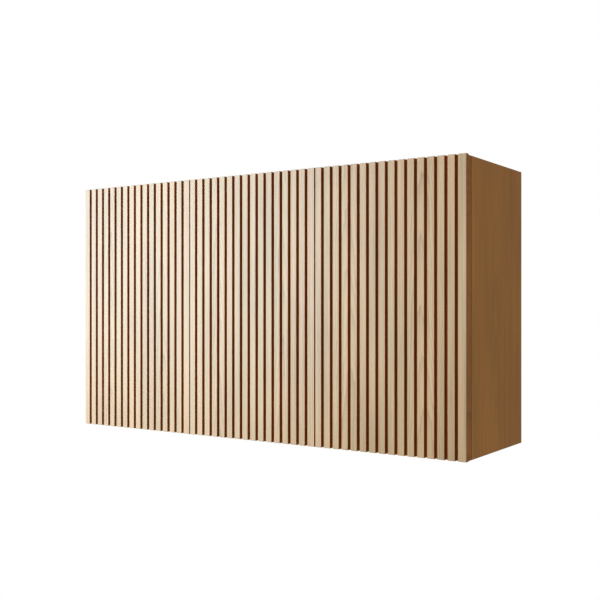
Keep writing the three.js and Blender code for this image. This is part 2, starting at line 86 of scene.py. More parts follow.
# the hinge cup, pressed into the door, and its screw ears above and below
CUP_CENTRE = 22.0
CUP_RADIUS = 17.5
CUP_WALL = 1.2
CUP_FLOOR = 1.6
CUP_BOSS = 2.4
CUP_DEPTH = 11.5
CUP_FLANGE = 1.0
CUP_RIM = 19.0
EAR_ROOT = 16.0
EAR_REACH = 24.0
EAR_RADIUS = 6.0
EAR_HOLE = 2.5
EAR_SCREW = 3.6

# the link, from its eye on the cup's pin (x and y) to its tip in the arm
LINK_PIVOT = (13.5, 17.5)
LINK_PIN = 1.2
LINK_EYE = 3.0
LINK_HALF = 5.0
LINK_SHEET = 2.6
LINK_REACH = 14.8
LINK_TIP = 50.0
LINK_EASE = 0.6

# the arm; its screws and its rib are measured from its front end
ARM_FRONT = 29.5
ARM_LENGTH = 68.0
ARM_TOP = 36.0
ARM_HEIGHT = 15.0
ARM_HALF = 9.0
ARM_SHEET = 1.4
ARM_BEND = 2.2
ARM_SCREWS = (9.0, 55.0)
ARM_SCREW = 4.2
ARM_RIB = (15.0, 41.0)
ARM_RIB_HALF = 3.0
LEVER_HALF = 6.0

# the mounting plate; the panel's face that it is screwed to is this far from the hinge edge
PANEL_FACE = {"left": 15.0, "middle": 6.0, "right": 15.0}
PLATE_SCREW_Y = 63.5
PLATE_SCREW_REACH = 16.0
PLATE_SCREW = 4.4
PLATE_SHEET = 2.0
WING_HALF = 7.0
WING_REACH = 23.0
SPINE_HALF = 8.0
CARRIER_HALF = 7.2

# the push latch under the top panel
CEILING = 583.0
LATCH_INSET = 33.0
LATCH_HEIGHT = 575.0
LATCH_ENDS = (30.0, 106.0)
LATCH_FLANGE_HALF = 10.0
BARREL_RADIUS = 7.6
BARREL_BORE = 4.2
RIB_PLACES = (86, 91, 96)
RIB_RADII = (5.5, 8.0)
RIB_THICKNESS = 1.6
PLUNGER_TIP = 25.3
PLUNGER_LENGTH = 52.0
PLUNGER_RADIUS = 3.9
PLUNGER_HEAD = 5.5
MAGNET_RADIUS = 3.5

# the strike plate on the door
STRIKE_HALF_HEIGHT = 7.0
STRIKE_HALF_WIDTH = 13.0
STRIKE_HOLES = (-9, 9)
STRIKE_HOLE = 2.2

# the thickness of the ears and of the strike plate
THIN_SHEET = 0.9

# the hanger in the cabinet's left upper rear corner
HANGER_X = (15.0, 39.0)
HANGER_Y = (223.7, 279.7)
HANGER_Z = (536.7, 582.7)
ADJUSTING_SCREW = 4.2
FIXING_SCREW = 3.8
HOOK_HALF = 7.0
HOOK_TOP = 561.0
HOOK_SHEET = 2.0
HOOK_DROP = 552.0

# the shelf pin; the collar's ends are measured from the pin's end in the panel
PEG_LENGTH = 15.7
PEG_RADIUS = 2.3
COLLAR_ENDS = (6.8, 7.9)
COLLAR_RADIUS = 3.5

# places in the pieces' lists of finishes: any piece's second one, and the three of a slatted front
ACCENT = 1
SLAT_FACE, GROOVE_FACE, BOARD_FACE = 0, 1, 2


# ---- node graphs ----

class Graph:
    """A material's node tree, with short calls for the nodes that the finishes use."""

    def __init__(self, name):
        self.material = bpy.data.materials.new(name)
        self.material.use_nodes = True
        self.tree = self.material.node_tree
        self.shader = self.tree.nodes["Principled BSDF"]
        self.output = self.tree.nodes["Material Output"]

    def add(self, kind, **settings):
        node = self.tree.nodes.new(kind)
        for key, value in settings.items():
            setattr(node, key, value)
        return node

    def put(self, socket, value):
        """Links another node's output to an input, or sets the input to a constant."""
        if isinstance(value, bpy.types.NodeSocket):
            self.tree.links.new(value, socket)
        else:
            socket.default_value = value

    def math(self, operation, a, b=0.0):
        node = self.add("ShaderNodeMath", operation=operation)
        self.put(node.inputs[0], a)
        self.put(node.inputs[1], b)
        return node.outputs[0]

    def plus(self, a, b):
        return self.math("ADD", a, b)

    def times(self, a, b):
        return self.math("MULTIPLY", a, b)

    def noise(self, vector, scale=1.0, detail=2.0, roughness=0.5):
        node = self.add("ShaderNodeTexNoise")
        self.put(node.inputs["Vector"], vector)
        node.inputs["Scale"].default_value = scale
        node.inputs["Detail"].default_value = detail
        node.inputs["Roughness"].default_value = roughness
        return node.outputs["Fac"]

    def vector(self, x, y, z):
        node = self.add("ShaderNodeCombineXYZ")
        for socket, value in zip(node.inputs, (x, y, z)):
            self.put(socket, value)
        return node.outputs[0]

    def ramp(self, factor, stops):
        """A colour ramp of (position, colour) stops."""
        node = self.add("ShaderNodeValToRGB")
        elements = node.color_ramp.elements
        while len(elements) < len(stops):
            elements.new(0.5)
        for element, (position, colour) in zip(elements, stops):
            element.position = position
            element.color = (*colour, 1.0)
        self.put(node.inputs["Fac"], factor)
        return node.outputs["Color"]

    def levels(self, factor, low, high):
        """Maps low..high to 0..1, clamped."""
        node = self.add("ShaderNodeMapRange")
        self.put(node.inputs["Value"], factor)
        node.inputs["From Min"].default_value = low
        node.inputs["From Max"].default_value = high
        return node.outputs["Result"]

    def mix(self, factor, a, b, blend="MIX"):
        node = self.add("ShaderNodeMix", data_type="RGBA", blend_type=blend)
        self.put(node.inputs["Factor"], factor)
        self.put(node.inputs[6], a)
        self.put(node.inputs[7], b)
        return node.outputs[2]

    def tint(self, colour, factors):
        """A colour multiplied by three constant factors."""
        return self.mix(1.0, colour, (*factors, 1.0), "MULTIPLY")

    def rough(self, pattern, spread, least):
        """A roughness that follows a pattern upwards from its least value."""
        self.put(self.shader.inputs["Roughness"], self.plus(self.times(pattern, spread), least))

    def bump(self, height, strength, distance):
        node = self.add("ShaderNodeBump")
        node.inputs["Strength"].default_value = strength
        node.inputs["Distance"].default_value = distance
        self.put(node.inputs["Height"], height)
        self.tree.links.new(node.outputs["Normal"], self.shader.inputs["Normal"])

    def place(self):
        """The point's place on its own piece, as separate x, y and z."""
        coordinates = self.add("ShaderNodeTexCoord")
        parts = self.add("ShaderNodeSeparateXYZ")
        self.tree.links.new(coordinates.outputs["Object"], parts.inputs[0])
        return {"x": parts.outputs[0], "y": parts.outputs[1], "z": parts.outputs[2]}


def shade(colour, factor):
    return tuple(min(1.0, channel * factor) for channel in colour)


def tinted(colour, factors):
    return tuple(channel * factor for channel, factor in zip(colour, factors))


# ---- oak ----

# Growth rings arch away from the middle of each leaf of veneer. A ring's phase grows with the
# square of the distance from there and along the leaf, and it wavers.
RING_ARCH = 4300.0
RINGS_PER_METRE = 8.0
RING_WAVER = 2.2
RING_RAGGED = 0.55
RING_BEND = 0.05
LEAF_STEP = 0.43

# how often each layer of the grain changes in a metre: across the leaf, into the board, along it
WAVER = (9.0, 1.0, 2.2)
RAGGED = (260.0, 1.0, 26.0)
FIBRE = (700.0, 700.0, 9.0)
PORE = (2300.0, 2300.0, 45.0)
STREAK = (210.0, 210.0, 2.5)
TONE = (14.0, 1.0, 3.0)
BLUSH = (52.0, 1.0, 2.0)

# how far a layer darkens the wood, and the two levels between which it does
LATE_WOOD_SHARE = 0.40
FIBRE_SHARE = (0.22, 0.32, 0.68)
STREAK_SHARE = (0.34, 0.33, 0.67)
TONE_SHARE = (0.24, 0.38, 0.64)

# the lightest grain's gain, the darkest grain's loss, and the factors of the blush and the pores
GAIN = 0.24
LOSS = (0.32, 0.39, 0.48)
PINK = (1.05, 0.985, 0.97)
GREEN = (0.965, 1.0, 0.95)
PORE_TINT = (0.62, 0.53, 0.42)

LACQUER_ROUGHNESS = 0.36
GRAIN_RELIEF = 0.18 * MM


def grain_layer(graph, spot, scales, detail=2.0, roughness=0.5):
    """Noise that is drawn out along the grain."""
    return graph.noise(graph.vector(*map(graph.times, spot, scales)), 1.0, detail, roughness)


def late_wood(graph, spot, inside):
    """The late wood of the growth rings: each ring darkens slowly and ends at once."""
    waver = graph.math("SUBTRACT", grain_layer(graph, spot, WAVER), 0.5)
    ragged = grain_layer(graph, spot, RAGGED)
    bent = graph.plus(inside, graph.times(waver, RING_BEND))
    arch = graph.times(graph.times(bent, bent), RING_ARCH)
    rings = graph.plus(arch, graph.times(spot[2], RINGS_PER_METRE))
    uneven = graph.plus(graph.times(waver, RING_WAVER), graph.times(ragged, RING_RAGGED))
    ring = graph.math("FRACT", graph.plus(rings, uneven))
    late = graph.times(graph.levels(ring, 0.15, 0.9), graph.levels(ring, 1.0, 0.9))
    return graph.times(late, late)


def oak(name, colour, across, along, leaf=0.174, offset=0.0, shift=0.0, figure=1.0, rough=0.42,
        shine=0.5, lacquer=0.0, contrast=1.0, edge=None):
    """Oak veneer with plain-sliced leaves: cathedral figure in the middle of each leaf, straighter
    grain at its sides, fine pores along the grain and slow changes of tone."""
    graph = Graph(name)
    place = graph.place()
    other = ({"x", "y", "z"} - {across, along}).pop()
    u = graph.plus(place[across], offset)
    v = graph.plus(place[along], shift)

    # each leaf starts further along the log than its neighbour
    cell = graph.math("FLOOR", graph.math("DIVIDE", u, leaf))
    inside = graph.math("SUBTRACT", u, graph.times(graph.plus(cell, 0.5), leaf))
    v = graph.plus(v, graph.times(cell, LEAF_STEP))
    spot = (u, place[other], v)

    # the grain, from light to dark
    late = late_wood(graph, spot, inside)
    fibre = grain_layer(graph, spot, FIBRE, 3.0, 0.6)
    streak = grain_layer(graph, spot, STREAK, 2.0, 0.6)
    tone = grain_layer(graph, spot, TONE)
    grain = graph.times(late, LATE_WOOD_SHARE * figure)
    layers = ((fibre, FIBRE_SHARE), (streak, STREAK_SHARE), (tone, TONE_SHARE))
    for layer, (share, low, high) in layers:
        grain = graph.plus(grain, graph.times(graph.levels(layer, low, high), share))
    wood = graph.ramp(grain, [
        (0.0, shade(colour, 1 + GAIN * contrast)),
        (0.5, colour),
        (1.0, tinted(colour, [1 - loss * contrast for loss in LOSS])),
    ])

    # patches of a pinker and a greener tone
    blush = graph.levels(grain_layer(graph, spot, BLUSH), 0.38, 0.64)
    wood = graph.mix(blush, graph.tint(wood, PINK), graph.tint(wood, GREEN))

    # pores, deepest in the late wood
    pores = graph.levels(grain_layer(graph, spot, PORE, 2.0, 0.7), 0.60, 0.72)
    pores = graph.times(pores, graph.plus(graph.times(late, 0.6), 0.4))
    wood = graph.mix(graph.times(pores, 0.5), wood, (*tinted(colour, PORE_TINT), 1.0))

    if edge:
        # painted shade: the board's narrow edges, which don't face along the third axis, are tinted darker
        # so the door gaps and side edges look shadowed
        facing = graph.add("ShaderNodeSeparateXYZ")
        graph.put(facing.inputs[0], graph.add("ShaderNodeTexCoord").outputs["Normal"])
        flat = graph.math("ABSOLUTE", facing.outputs["xyz".index(other)])
        wood = graph.mix(graph.levels(flat, 0.6, 0.4), wood, graph.tint(wood, edge))

    graph.put(graph.shader.inputs["Base Color"], wood)
    graph.rough(fibre, 0.16, rough - 0.06)
    graph.shader.inputs["Specular IOR Level"].default_value = shine
    graph.shader.inputs["Coat Weight"].default_value = lacquer
    graph.shader.inputs["Coat Roughness"].default_value = LACQUER_ROUGHNESS
    graph.bump(graph.math("SUBTRACT", graph.times(fibre, 0.35), pores), 0.25, GRAIN_RELIEF)
    return graph.material


# ---- metal and plastic ----

def metal(name, colour, roughness, streak_axis="z"):
    """Plated steel: fine drawn lines and a slow change of brightness."""
    graph = Graph(name)
    place = graph.place()
    stretch = {axis: 1600.0 for axis in "xyz"}
    stretch[streak_axis] = 60.0
    lines = graph.noise(graph.vector(*(graph.times(place[axis], stretch[axis]) for axis in "xyz")))
    cloud = graph.noise(graph.vector(place["x"], place["y"], place["z"]), 70.0)
    bright = graph.ramp(cloud, [(0.3, shade(colour, 0.86)), (0.7, shade(colour, 1.06))])
    graph.put(graph.shader.inputs["Base Color"], bright)
    graph.shader.inputs["Metallic"].default_value = 1.0
    graph.rough(lines, 0.18, roughness - 0.09)
    graph.bump(lines, 0.12, 0.06 * MM)
    return graph.material


def plastic(name, colour, roughness=0.45):
    """Moulded plastic with a fine eroded grain."""
    graph = Graph(name)
    place = graph.place()
    spot = graph.vector(place["x"], place["y"], place["z"])
    grain = graph.noise(spot, 2600.0)
    cloud = graph.noise(spot, 40.0, 1.0)
    tone = graph.ramp(cloud, [(0.3, shade(colour, 0.94)), (0.7, shade(colour, 1.04))])
    graph.put(graph.shader.inputs["Base Color"], tone)
    graph.rough(grain, 0.2, roughness - 0.1)
    graph.bump(grain, 0.2, 0.05 * MM)
    return graph.material


# ---- finishes ----

PALE = (0.495, 0.345, 0.172)
WARM = (0.397, 0.172, 0.031)
# painted shade: the grooves are the slats' own oak, darkened and saturated to the deep brown they show in
# shadow
SHADED = (0.30, 0.088, 0.009)
INSIDE = (0.50, 0.325, 0.165)
# painted shade on the doors' narrow edges, as colour factors
EDGE_SHADE = (0.80, 0.69, 0.60)

# the doors' leaves are counted from the cabinet's left edge
LEFT_EDGE = 0.525

pale_oak = oak("pale_oak_slats", PALE, "x", "z", offset=LEFT_EDGE, rough=0.38, shine=1.0, lacquer=1.0,
               contrast=1.35)
groove_shade_oak = oak("oak_grooves_painted_shade", SHADED, "x", "z", offset=LEFT_EDGE, figure=0.6, rough=0.6, shine=0.15)
warm_oak = oak("warm_oak_sides", WARM, "y", "z", leaf=0.30, offset=0.30, figure=0.7, rough=0.5,
               shine=0.3)
warm_oak_flat = oak("warm_oak_flat", WARM, "y", "x", leaf=0.30, offset=0.31, figure=0.7, rough=0.5,
                    shine=0.3)
warm_oak_door = oak("warm_oak_door_backs", WARM, "x", "z", offset=LEFT_EDGE, figure=0.7, rough=0.5,
                    shine=0.3, edge=EDGE_SHADE)
inside_oak_flat = oak("inside_oak_flat", INSIDE, "y", "x", leaf=0.25, offset=0.3, shift=0.2, figure=0.55)
inside_oak_tall = oak("inside_oak_tall", INSIDE, "x", "z", leaf=0.21, offset=0.6, shift=0.1, figure=0.55)
inside_oak_deep = oak("inside_oak_deep", INSIDE, "y", "z", leaf=0.25, offset=0.28, shift=0.3, figure=0.55)
nickel = metal("nickel_plate", (0.66, 0.65, 0.62), 0.30)
zinc = metal("zinc_plate", (0.52, 0.54, 0.56), 0.42, "x")
bright_zinc = metal("bright_zinc_screws", (0.62, 0.63, 0.64), 0.34)
grey_plastic = plastic("grey_plastic", (0.42, 0.42, 0.41))
pale_plastic = plastic("pale_plastic", (0.66, 0.66, 0.64), 0.38)


# ---- mesh helpers ----

def side_axes(axis):
    """The two other axes of a prism or a turned piece, in right-handed order."""
    return {"x": ("y", "z"), "y": ("z", "x"), "z": ("x", "y")}[axis]


def point(axis, along, first, second):
    """A point given along an axis and along its two side axes."""
    values = dict(zip(side_axes(axis), (first, second)))
    values[axis] = along
    return Vector((values["x"], values["y"], values["z"]))


def rectangle(low, high):
    return [(low[0], low[1]), (high[0], low[1]), (high[0], high[1]), (low[0], high[1])]


def arc(u, v, radius, start, end, steps):
    """Points of an arc, angles in degrees."""
    points = []
    for i in range(steps + 1):
        angle = math.radians(start + (end - start) * i / steps)
        points.append((u + radius * math.cos(angle), v + radius * math.sin(angle)))
    return points


def rounded(low, high, radius, steps=6):
    """The outline of a rectangle with round corners."""
    points = []
    corners = ((high[0], high[1], 0), (low[0], high[1], 90), (low[0], low[1], 180), (high[0], low[1], 270))
    for u, v, start in corners:
        inner_u = u - radius if u == high[0] else u + radius
        inner_v = v - radius if v == high[1] else v + radius
        points += arc(inner_u, inner_v, radius, start, start + 90, steps)
    return points


def circle(u, v, radius, steps=24):
    angles = [2 * math.pi * i / steps for i in range(steps)]
    return [(u + radius * math.cos(angle), v + radius * math.sin(angle)) for angle in angles]


def prism(mesh, outline, axis, low, high):
    """Extrudes an outline, given on the axis's two side axes, into a closed solid."""
    rings = [[mesh.verts.new(point(axis, level, a, b)) for a, b in outline] for level in (low, high)]
    count = len(outline)
    mesh.faces.new(rings[0][::-1])
    mesh.faces.new(rings[1])
    for i in range(count):
        j = (i + 1) % count
        mesh.faces.new((rings[0][i], rings[0][j], rings[1][j], rings[1][i]))


def turned(mesh, centre, axis, profile, steps=40):
    """Turns a profile of (distance along the axis, radius) points into a closed solid. The profile
    starts and ends on the axis, or it closes on itself and makes a ring."""
    first, second = side_axes(axis)
    base = dict(zip("xyz", centre))
    rings = []
    for along, radius in profile:
        level = base[axis] + along
        if radius == 0:
            rings.append([mesh.verts.new(point(axis, level, base[first], base[second]))])
            continue
        corners = circle(base[first], base[second], radius, steps)
        rings.append([mesh.verts.new(point(axis, level, a, b)) for a, b in corners])
    pairs = list(zip(rings, rings[1:]))
    if profile[0][1] > 0:
        pairs.append((rings[-1], rings[0]))
    for lower, upper in pairs:
        for i in range(steps):
            j = (i + 1) % steps
            if len(lower) == 1:
                mesh.faces.new((lower[0], upper[j], upper[i]))
            elif len(upper) == 1:
                mesh.faces.new((lower[i], lower[j], upper[0]))
            else:
                mesh.faces.new((lower[i], lower[j], upper[j], upper[i]))


def plate(mesh, outline, holes, axis, low, high):
    """A flat plate with holes through it; the outlines are given on the axis's two side axes."""
    edges = []
    for loop in (outline, *holes):
        corners = [mesh.verts.new(point(axis, low, a, b)) for a, b in loop]
        for first, second in zip(corners, corners[1:] + corners[:1]):
            edges.append(mesh.edges.new((first, second)))
    filled = bmesh.ops.triangle_fill(mesh, edges=edges, use_beauty=True)
    faces = [item for item in filled["geom"] if isinstance(item, bmesh.types.BMFace)]
    raised = bmesh.ops.extrude_face_region(mesh, geom=faces, use_keep_orig=True)
    corners = [item for item in raised["geom"] if isinstance(item, bmesh.types.BMVert)]
    bmesh.ops.translate(mesh, vec=point(axis, high - low, 0, 0), verts=corners)


def screw(mesh, centre, axis, out, radius):
    """A screw's low head with a cross recess, facing out (1 or -1) along an axis."""
    steps, rings = 40, 10
    first, second = side_axes(axis)
    base = dict(zip("xyz", centre))
    slot = 0.17 * radius
    reach = 0.66 * radius
    depth = 0.36 * radius
    rise = 0.34 * radius

    def corner(ring, step):
        r = radius * ring / rings
        angle = 2 * math.pi * step / steps
        x, y = r * math.cos(angle), r * math.sin(angle)
        height = rise * (1 - 0.75 * (r / radius) ** 2)
        if r < reach and min(abs(x), abs(y)) < slot:
            height -= depth
        return mesh.verts.new(point(axis, base[axis] + out * height, base[first] + x, base[second] + y))

    top = corner(0, 0)
    loops = [[corner(ring, step) for step in range(steps)] for ring in range(1, rings + 1)]
    foot = [mesh.verts.new(vert.co) for vert in loops[-1]]
    for vert in foot:
        vert.co += point(axis, -out * 0.5 * radius, 0, 0)
    loops.append(foot)
    for i in range(steps):
        mesh.faces.new((top, loops[0][i], loops[0][(i + 1) % steps]))
    for lower, upper in zip(loops, loops[1:]):
        for i in range(steps):
            j = (i + 1) % steps
            mesh.faces.new((lower[i], upper[i], upper[j], lower[j]))
    mesh.faces.new(foot)


def accented(mesh, build, *arguments):
    """Builds a further solid into a mesh, in the piece's second finish."""
    before = set(mesh.faces)
    build(mesh, *arguments)
    for face in mesh.faces:
        if face not in before:
            face.material_index = ACCENT


def settle(mesh, x=0.0, z=0.0, turn=1):
    """Brings a mesh drawn in millimetres from the doors' front lower left corner into the frame.
    A mesh drawn from an edge at x is moved there, and is first turned round if turn is -1."""
    matrix = Matrix.Diagonal((turn * MM, MM, MM, 1.0))
    matrix.translation = ((x - ORIGIN[0]) * MM, -ORIGIN[1] * MM, (z - ORIGIN[2]) * MM)
    bmesh.ops.transform(mesh, matrix=matrix, verts=mesh.verts)


def dress(obj, bevel, segments=2, angle=35):
    """Smooth rounds, crisp edges and a small ease along every corner."""
    obj.data.shade_smooth()
    obj.data.set_sharp_from_angle(angle=math.radians(angle))
    if bevel:
        ease = obj.modifiers.new("ease", "BEVEL")
        ease.width = bevel
        ease.segments = segments
        ease.limit_method = "ANGLE"
        ease.loop_slide = False
        ease.angle_limit = math.radians(angle)
    even = obj.modifiers.new("even", "WEIGHTED_NORMAL")
    even.keep_sharp = True


def piece(name, mesh, materials, body, replaces, bevel=0.0, segments=2, angle=35):
    """Makes an object of a mesh, gives it its finish and its place in the frame."""
    bmesh.ops.recalc_face_normals(mesh, faces=mesh.faces)
    data = bpy.data.meshes.new(name)
    mesh.to_mesh(data)
    mesh.free()
    for material in materials:
        data.materials.append(material)
    made = bpy.data.objects.new(name, data)
    bpy.context.scene.collection.objects.link(made)
    dress(made, bevel, segments, angle)
    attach(made, body)
    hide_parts(*replaces)


def keep(node, material, bevel=0.4 * MM):
    """A CAD node that stays, with its seams welded, its edges eased and a better finish."""
    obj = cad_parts[node]
    obj.data.materials.clear()
    obj.data.materials.append(material)
    weld = obj.modifiers.new("weld", "WELD")
    weld.merge_threshold = 0.01 * MM
    flat = obj.modifiers.new("flat", "DECIMATE")
    flat.decimate_type = "DISSOLVE"
    flat.angle_limit = math.radians(1)
    dress(obj, bevel, angle=40)


# ---- door fronts ----

def slat_outline(left, width, front, rear):
    """The slatted front seen from above, anticlockwise, with the finish of each side."""
    last = width - FIRST_SLAT - (SLAT_COUNT - 2) * SLAT_WIDTH - (SLAT_COUNT - 1) * GROOVE_WIDTH
    widths = [FIRST_SLAT] + [SLAT_WIDTH] * (SLAT_COUNT - 2) + [last]
    floor_y = front + GROOVE_DEPTH
    points = [(left, rear)]
    finishes = [BOARD_FACE]
    x = left
    for slat in widths:
        points += [(x, front), (x + slat, front), (x + slat, floor_y), (x + slat + GROOVE_WIDTH, floor_y)]
        finishes += [SLAT_FACE, GROOVE_FACE, GROOVE_FACE, GROOVE_FACE]
        x += slat + GROOVE_WIDTH
    # the last slat has no groove after it
    points = points[:-2] + [(left + width, rear)]
    finishes = finishes[:-3] + [BOARD_FACE, BOARD_FACE]
    return points, finishes


def slatted_front(door):
    node = f"{door}_door_fluted_front"
    low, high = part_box(node)
    outline, finishes = slat_outline(low.x, high.x - low.x, low.y, high.y)
    mesh = bmesh.new()
    prism(mesh, outline, "z", low.z, high.z)
    # the prism's two ends come before its sides
    for face, finish in zip(mesh.faces, [BOARD_FACE, BOARD_FACE, *finishes]):
        face.material_index = finish
    piece(f"{door}_door_slats", mesh, [pale_oak, groove_shade_oak, warm_oak_door], f"{door}_door",
          [node], SLAT_EASE, segments=3, angle=50)


# ---- hinges ----

def hinge_edge(door):
    return DOOR_LEFT[door] + (DOOR_WIDTH if TURN[door] < 0 else 0.0)


def settle_hinge(mesh, door, place):
    settle(mesh, hinge_edge(door), HINGE_HEIGHT[place], TURN[door])


def hinge_cup(door, place):
    """The pressed cup with its flange, screw ears and hinge pin."""
    mesh = bmesh.new()
    inner = CUP_RADIUS - CUP_WALL
    mouth = CUP_DEPTH + CUP_FLANGE
    turned(mesh, (CUP_CENTRE, DOOR_BACK - CUP_DEPTH, 0), "y", [
        (0, 0), (0, CUP_RADIUS - 1), (1, CUP_RADIUS), (CUP_DEPTH, CUP_RADIUS), (CUP_DEPTH, CUP_RIM),
        (mouth - 0.4, CUP_RIM), (mouth, CUP_RIM - 0.5), (mouth, inner + 0.6), (mouth - 0.4, inner),
        (CUP_FLOOR + 1, inner), (CUP_FLOOR, inner - 1), (CUP_FLOOR, 6), (CUP_BOSS, 5), (CUP_BOSS, 0),
    ], 56)
    for end in (-1, 1):
        height = end * EAR_REACH
        outline = [
            (end * EAR_ROOT, CUP_CENTRE + EAR_RADIUS),
            *arc(height, CUP_CENTRE, EAR_RADIUS, 90, 90 - 180 * end, 12),
            (end * EAR_ROOT, CUP_CENTRE - EAR_RADIUS),
        ]
        hole = circle(height, CUP_CENTRE, EAR_HOLE)
        plate(mesh, outline, [hole], "y", DOOR_BACK, DOOR_BACK + THIN_SHEET)
        accented(mesh, screw, (CUP_CENTRE, DOOR_BACK + 0.7, height), "y", 1, EAR_SCREW)
    half = math.sqrt(inner ** 2 - (CUP_CENTRE - LINK_PIVOT[0]) ** 2)
    turned(mesh, (*LINK_PIVOT, -half), "z", [(0, 0), (0, LINK_PIN), (2 * half, LINK_PIN), (2 * half, 0)], 20)
    settle_hinge(mesh, door, place)
    node = f"{door}_door_{place}_hinge_cup"
    piece(node + "_pressed", mesh, [nickel, bright_zinc], f"{door}_door", [node], 0.15 * MM)


def hinge_link(door, place):
    """The goose-neck link, from its eye on the cup's pin to its tip inside the arm."""
    mesh = bmesh.new()
    x, y = LINK_PIVOT
    under = y - 0.8
    upper = y - 0.8 + LINK_SHEET
    outer = x + LINK_REACH
    inner = x + LINK_REACH - LINK_SHEET
    outline = [
        (x, under),
        (x + 8.6, under),
        (outer, y + 5.6),
        (outer, LINK_TIP - LINK_EASE),
        (outer - LINK_EASE, LINK_TIP),
        (inner + LINK_EASE, LINK_TIP),
        (inner, LINK_TIP - LINK_EASE),
        (inner, y + 7.2),
        (x + 7.4, upper),
        (x, upper),
    ]
    prism(mesh, outline, "z", -LINK_HALF, LINK_HALF)
    eye = LINK_HALF + 0.1
    turned(mesh, (x, y, -eye), "z", [(0, 0), (0, LINK_EYE), (2 * eye, LINK_EYE), (2 * eye, 0)], 28)
    settle_hinge(mesh, door, place)
    node = f"{door}_door_{place}_hinge_link"
    piece(node + "_bent", mesh, [nickel], f"{door}_hinge_links", [node], 0.4 * MM, 3)


def hinge_arm(door, place):
    """The folded arm with its pressed rib, its two adjusting screws and its release lever."""
    mesh = bmesh.new()
    foot = ARM_TOP - ARM_HEIGHT
    inner = ARM_HALF - ARM_SHEET
    bend = ARM_TOP - ARM_BEND
    inner_bend = ARM_BEND - ARM_SHEET
    rear = ARM_FRONT + ARM_LENGTH
    outline = [
        (-ARM_HALF, foot),
        (-inner, foot),
        *arc(inner_bend - inner, bend, inner_bend, 180, 90, 4),
        *arc(inner - inner_bend, bend, inner_bend, 90, 0, 4),
        (inner, foot),
        (ARM_HALF, foot),
        *arc(ARM_HALF - ARM_BEND, bend, ARM_BEND, 0, 90, 6),
        *arc(ARM_BEND - ARM_HALF, bend, ARM_BEND, 90, 180, 6),
    ]
    prism(mesh, outline, "y", ARM_FRONT, rear)
    rib_front, rib_rear = (ARM_FRONT + distance for distance in ARM_RIB)
    rib = rounded((rib_front, -ARM_RIB_HALF), (rib_rear, ARM_RIB_HALF), ARM_RIB_HALF - 0.1)
    prism(mesh, rib, "x", ARM_TOP - 0.5, ARM_TOP + 0.4)
    for distance in ARM_SCREWS:
        accented(mesh, screw, (ARM_TOP - 0.9, ARM_FRONT + distance, 0), "x", 1, ARM_SCREW)
    lever = rectangle((rear - 0.4, -LEVER_HALF), (rear + 1.6, LEVER_HALF))
    prism(mesh, lever, "x", ARM_TOP - 9, ARM_TOP - 2.4)
    settle_hinge(mesh, door, place)
    node = f"{door}_door_{place}_hinge_arm"
    piece(node + "_folded", mesh, [nickel, bright_zinc], "carcass", [node], 0.2 * MM)


def hinge_plate(door, place):
    """The winged mounting plate with its two screws and the carrier inside the arm."""
    mesh = bmesh.new()
    face = PANEL_FACE[door]
    front = PLATE_SCREW_Y - WING_HALF
    rear = ARM_FRONT + ARM_LENGTH
    wing = rounded((front, -WING_REACH), (PLATE_SCREW_Y + WING_HALF, WING_REACH), 4)
    prism(mesh, wing, "x", face, face + PLATE_SHEET)
    spine = rounded((front - 3, -SPINE_HALF), (rear, SPINE_HALF), 1.5)
    prism(mesh, spine, "x", face, face + PLATE_SHEET - 0.1)
    carrier = rounded((front, -CARRIER_HALF), (rear - 2, CARRIER_HALF), 1)
    prism(mesh, carrier, "x", face + 1, ARM_TOP - 1.8)
    for height in (-PLATE_SCREW_REACH, PLATE_SCREW_REACH):
        accented(mesh, screw, (face + 1.8, PLATE_SCREW_Y, height), "x", 1, PLATE_SCREW)
    settle_hinge(mesh, door, place)
    node = f"{door}_door_{place}_hinge_plate"
    piece(node + "_cast", mesh, [zinc, bright_zinc], "carcass", [node], 0.3 * MM)


# ---- push latches ----

def latch_x(door):
    """The middle of a latch, which stands near its door's free edge."""
    return hinge_edge(door) + TURN[door] * (DOOR_WIDTH - LATCH_INSET)


def latch_housing(door):
    """The latch's barrel under the top panel, with its flange and its grip ribs."""
    mesh = bmesh.new()
    x = latch_x(door)
    front, rear = LATCH_ENDS
    barrel = [
        (CEILING - 2.5, x + BARREL_RADIUS),
        (CEILING - 2.5, x - BARREL_RADIUS),
        *arc(LATCH_HEIGHT, x, BARREL_RADIUS, 270, 90, 20),
    ]
    plate(mesh, barrel, [circle(LATCH_HEIGHT, x, BARREL_BORE, 28)], "y", front, rear)
    flange = rectangle((x - LATCH_FLANGE_HALF, front + 0.4), (x + LATCH_FLANGE_HALF, rear - 0.4))
    prism(mesh, flange, "z", CEILING - 3, CEILING)
    inner, outer = RIB_RADII
    rib = [(0, inner), (0, outer), (RIB_THICKNESS, outer), (RIB_THICKNESS, inner)]
    for y in RIB_PLACES:
        turned(mesh, (x, y, LATCH_HEIGHT), "y", rib, 48)
    settle(mesh)
    node = f"{door}_latch_housing"
    piece(node + "_moulded", mesh, [grey_plastic], "carcass", [node], 0.3 * MM)


def latch_plunger(door):
    """The plunger with the magnet in its tip."""
    mesh = bmesh.new()
    centre = (latch_x(door), PLUNGER_TIP, LATCH_HEIGHT)
    rod, head, end = PLUNGER_RADIUS, PLUNGER_HEAD, PLUNGER_LENGTH
    turned(mesh, centre, "y", [
        (0.6, 0), (0.6, rod - 0.3), (0, rod), (0, head - 0.5), (0.5, head), (3.6, head), (4, head - 0.4),
        (4, rod), (end - 0.5, rod), (end, rod - 0.5), (end, 0),
    ], 44)
    magnet = [(0.1, 0), (0.1, MAGNET_RADIUS - 0.3), (0.3, MAGNET_RADIUS), (1.2, MAGNET_RADIUS), (1.2, 0)]
    accented(mesh, turned, centre, "y", magnet, 44)
    settle(mesh)
    node = f"{door}_latch_plunger"
    piece(node + "_turned", mesh, [pale_plastic, zinc], f"{door}_plunger", [node])


